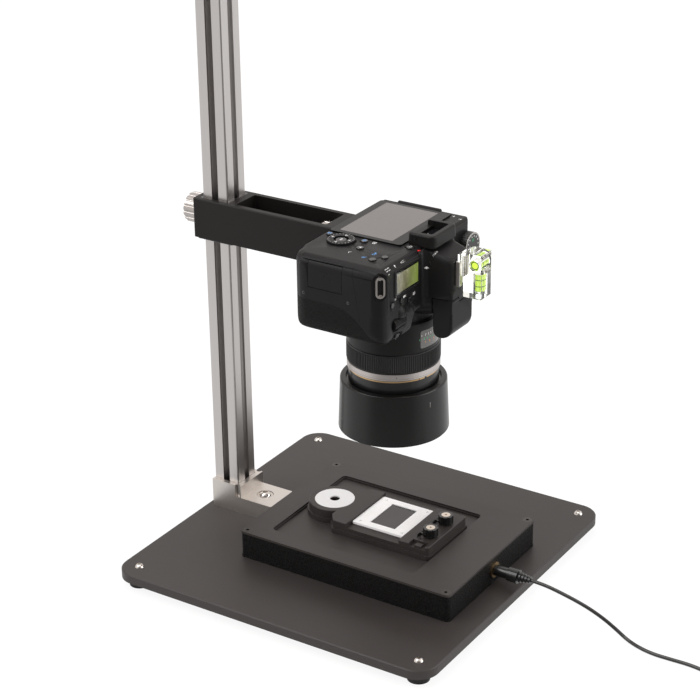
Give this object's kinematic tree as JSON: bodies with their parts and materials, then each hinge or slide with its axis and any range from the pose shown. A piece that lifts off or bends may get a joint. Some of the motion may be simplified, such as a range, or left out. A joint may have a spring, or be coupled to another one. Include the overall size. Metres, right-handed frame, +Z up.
{
  "type": "slide duplicator",
  "caption": "Copy stand with a T-slot column, a sliding arm, a camera hung lens down, and a light box with a slide carrier, knobs and a lead.",
  "frame": {"origin": "under the centre of the base plate, on the surface that its feet stand on", "axes": "+Z up along the column, +Y towards the column at the back, +X to the right"},
  "size_m": [0.3, 0.5963, 0.619],
  "materials": {
    "plate": "satin black coat",
    "rubber": "matte black rubber",
    "steel": "bright steel",
    "profile": "clear anodised",
    "knob_metal": "bright turned",
    "black_paint": "satin black",
    "black_screws": "black oxide",
    "black_plastic": "fine black texture",
    "button_plastic": "black",
    "knob_plastic": "glossy black",
    "insert_metal": "turned",
    "leatherette": "pebbled",
    "lead": "soft jacket",
    "diffuser": "opal",
    "board": "circuit board",
    "screen_glass": "grey cover glass",
    "window_glass": "display window",
    "lens_glass": "coated",
    "acrylic": "clear acrylic",
    "vial": "green liquid",
    "white": "white",
    "film": "exposed film"
  },
  "bodies": {
    "stand": {"base_plate": "plate", "rubber_feet": "rubber", "stand_screws": "steel", "column": "profile", "column_cap": "black_plastic", "column_bracket": "profile", "light_box_case": "leatherette", "light_box_panel": "plate", "panel_screws": "black_screws", "diffuser": "diffuser", "led_board": "board", "dc_jack": "insert_metal", "dc_plug": "black_plastic", "lead_run": "lead", "lead_coil": "lead", "supply_plug": "black_plastic"},
    "carrier": {"carrier_body": "black_plastic", "white_disc": "white"},
    "slide": {"slide_mount": "white", "slide_film": "film"},
    "carrier_knob_a": {"carrier_knob_a": "knob_plastic", "knob_spindle_a": "insert_metal"},
    "carrier_knob_b": {"carrier_knob_b": "knob_plastic", "knob_spindle_b": "insert_metal"},
    "arm": {"arm": "black_paint", "arm_bush": "black_plastic"},
    "clamp_knob": {"clamp_knob": "knob_metal"},
    "camera_knob": {"camera_knob": "knob_metal"},
    "camera": {"camera_shell": "black_plastic", "eyecup": "rubber", "hot_shoe": "steel", "status_window": "window_glass", "strap_lugs": "knob_metal", "lens_barrel": "black_paint", "distance_window": "window_glass", "front_barrel": "black_paint", "front_glass": "lens_glass"},
    "card_door": {"card_door": "black_plastic"},
    "screen": {"screen_panel": "black_plastic", "screen_glass": "screen_glass", "screen_hinge": "black_plastic"},
    "level": {"level_block": "acrylic", "level_vials": "vial"},
    "flash": {"flash_head": "black_plastic"},
    "control_wheel": {"control_wheel": "black_plastic"},
    "mode_dial": {"mode_dial": "black_plastic"},
    "rear_dial": {"rear_dial": "black_plastic"},
    "focus_ring": {"focus_ring": "black_plastic"},
    "lens_hood": {"lens_hood": "black_plastic"},
    "set_button": {"set_button": "button_plastic"},
    "delete_button": {"delete_button": "button_plastic"},
    "quick_button": {"quick_button": "button_plastic"},
    "play_button": {"play_button": "button_plastic"},
    "zoom_out_button": {"zoom_out_button": "button_plastic"},
    "zoom_in_button": {"zoom_in_button": "button_plastic"},
    "live_button": {"live_button": "button_plastic"},
    "shutter_button": {"shutter_button": "button_plastic"},
    "focus_button": {"focus_button": "button_plastic"},
    "speed_button": {"speed_button": "button_plastic"},
    "meter_button": {"meter_button": "button_plastic"}
  },
  "joints": [
    {"name": "carrier_lift", "type": "slide", "parent": "stand", "child": "carrier", "axis": [0, 0, 1], "range_m": [0, 0.02]},
    {"name": "slide_pull", "type": "slide", "parent": "carrier", "child": "slide", "axis": [-1, 0, 0], "range_m": [0, 0.055]},
    {"name": "knob_a_turn", "type": "hinge", "parent": "carrier", "child": "carrier_knob_a", "pos_m": [-0.016, -0.075, 0.0574], "axis": [0, 0, 1], "range_deg": [-45, 45]},
    {"name": "knob_b_turn", "type": "hinge", "parent": "carrier", "child": "carrier_knob_b", "pos_m": [0.0087, -0.075, 0.0574], "axis": [0, 0, 1], "range_deg": [-45, 45]},
    {"name": "arm_height", "type": "slide", "parent": "stand", "child": "arm", "axis": [0, 0, 1], "range_m": [-0.045, 0.28]},
    {"name": "clamp_turn", "type": "hinge", "parent": "arm", "child": "clamp_knob", "pos_m": [0, 0.158, 0.284], "axis": [0, 1, 0], "range_deg": [-180, 180]},
    {"name": "camera_screw_turn", "type": "hinge", "parent": "arm", "child": "camera_knob", "pos_m": [0, 0.029, 0.284], "axis": [0, 1, 0], "range_deg": [-180, 180]},
    {"name": "camera_tilt", "type": "hinge", "parent": "arm", "child": "camera", "pos_m": [0, 0.014, 0.284], "axis": [0, 1, 0], "range_deg": [-15, 15]},
    {"name": "card_door_swing", "type": "hinge", "parent": "camera", "child": "card_door", "pos_m": [-0.079, -0.02, 0.2776], "axis": [0, -1, 0], "range_deg": [0, 95]},
    {"name": "screen_fold", "type": "hinge", "parent": "camera", "child": "screen", "pos_m": [0.056, -0.0206, 0.299], "axis": [0, 1, 0], "range_deg": [0, 175]},
    {"name": "level_pull", "type": "slide", "parent": "camera", "child": "level", "axis": [0, 0, 1], "range_m": [0, 0.02]},
    {"name": "flash_lift", "type": "hinge", "parent": "camera", "child": "flash", "pos_m": [0, -0.0908, 0.2586], "axis": [-1, 0, 0], "range_deg": [0, 65]},
    {"name": "control_wheel_turn", "type": "hinge", "parent": "camera", "child": "control_wheel", "pos_m": [-0.054, -0.0658, 0.2518], "axis": [-1, 0, 0], "continuous": true},
    {"name": "mode_dial_turn", "type": "hinge", "parent": "camera", "child": "mode_dial", "pos_m": [0.0465, -0.072, 0.2815], "axis": [0, -1, 0], "continuous": true},
    {"name": "rear_dial_turn", "type": "hinge", "parent": "camera", "child": "rear_dial", "pos_m": [-0.0382, -0.0068, 0.301], "axis": [0, 0, 1], "continuous": true},
    {"name": "focus_turn", "type": "hinge", "parent": "camera", "child": "focus_ring", "pos_m": [0, -0.0304, 0.202], "axis": [0, 0, 1], "range_deg": [-75, 75]},
    {"name": "hood_twist", "type": "hinge", "parent": "camera", "child": "lens_hood", "pos_m": [0, -0.0304, 0.17], "axis": [0, 0, 1], "range_deg": [0, 50]},
    {"name": "set_press", "type": "slide", "parent": "camera", "child": "set_button", "axis": [0, 0, -1], "range_m": [0, 0.0006], "stiffness_N_per_m": 400, "springref_m": -0.0008},
    {"name": "delete_press", "type": "slide", "parent": "camera", "child": "delete_button", "axis": [0, 0, -1], "range_m": [0, 0.0006], "stiffness_N_per_m": 400, "springref_m": -0.0008},
    {"name": "quick_press", "type": "slide", "parent": "camera", "child": "quick_button", "axis": [0, 0, -1], "range_m": [0, 0.0006], "stiffness_N_per_m": 400, "springref_m": -0.0008},
    {"name": "play_press", "type": "slide", "parent": "camera", "child": "play_button", "axis": [0, 0, -1], "range_m": [0, 0.0006], "stiffness_N_per_m": 400, "springref_m": -0.0008},
    {"name": "zoom_out_press", "type": "slide", "parent": "camera", "child": "zoom_out_button", "axis": [0, 0, -1], "range_m": [0, 0.0006], "stiffness_N_per_m": 400, "springref_m": -0.0008},
    {"name": "zoom_in_press", "type": "slide", "parent": "camera", "child": "zoom_in_button", "axis": [0, 0, -1], "range_m": [0, 0.0006], "stiffness_N_per_m": 400, "springref_m": -0.0008},
    {"name": "live_press", "type": "slide", "parent": "camera", "child": "live_button", "axis": [0, 0, -1], "range_m": [0, 0.0006], "stiffness_N_per_m": 400, "springref_m": -0.0008},
    {"name": "shutter_press", "type": "slide", "parent": "camera", "child": "shutter_button", "axis": [0, 0.891, 0.454], "range_m": [0, 0.0006], "stiffness_N_per_m": 400, "springref_m": -0.0008},
    {"name": "focus_press", "type": "slide", "parent": "camera", "child": "focus_button", "axis": [0, 1, 0], "range_m": [0, 0.0006], "stiffness_N_per_m": 400, "springref_m": -0.0008},
    {"name": "speed_press", "type": "slide", "parent": "camera", "child": "speed_button", "axis": [0, 1, 0], "range_m": [0, 0.0006], "stiffness_N_per_m": 400, "springref_m": -0.0008},
    {"name": "meter_press", "type": "slide", "parent": "camera", "child": "meter_button", "axis": [0, 1, 0], "range_m": [0, 0.0006], "stiffness_N_per_m": 400, "springref_m": -0.0008}
  ]
}
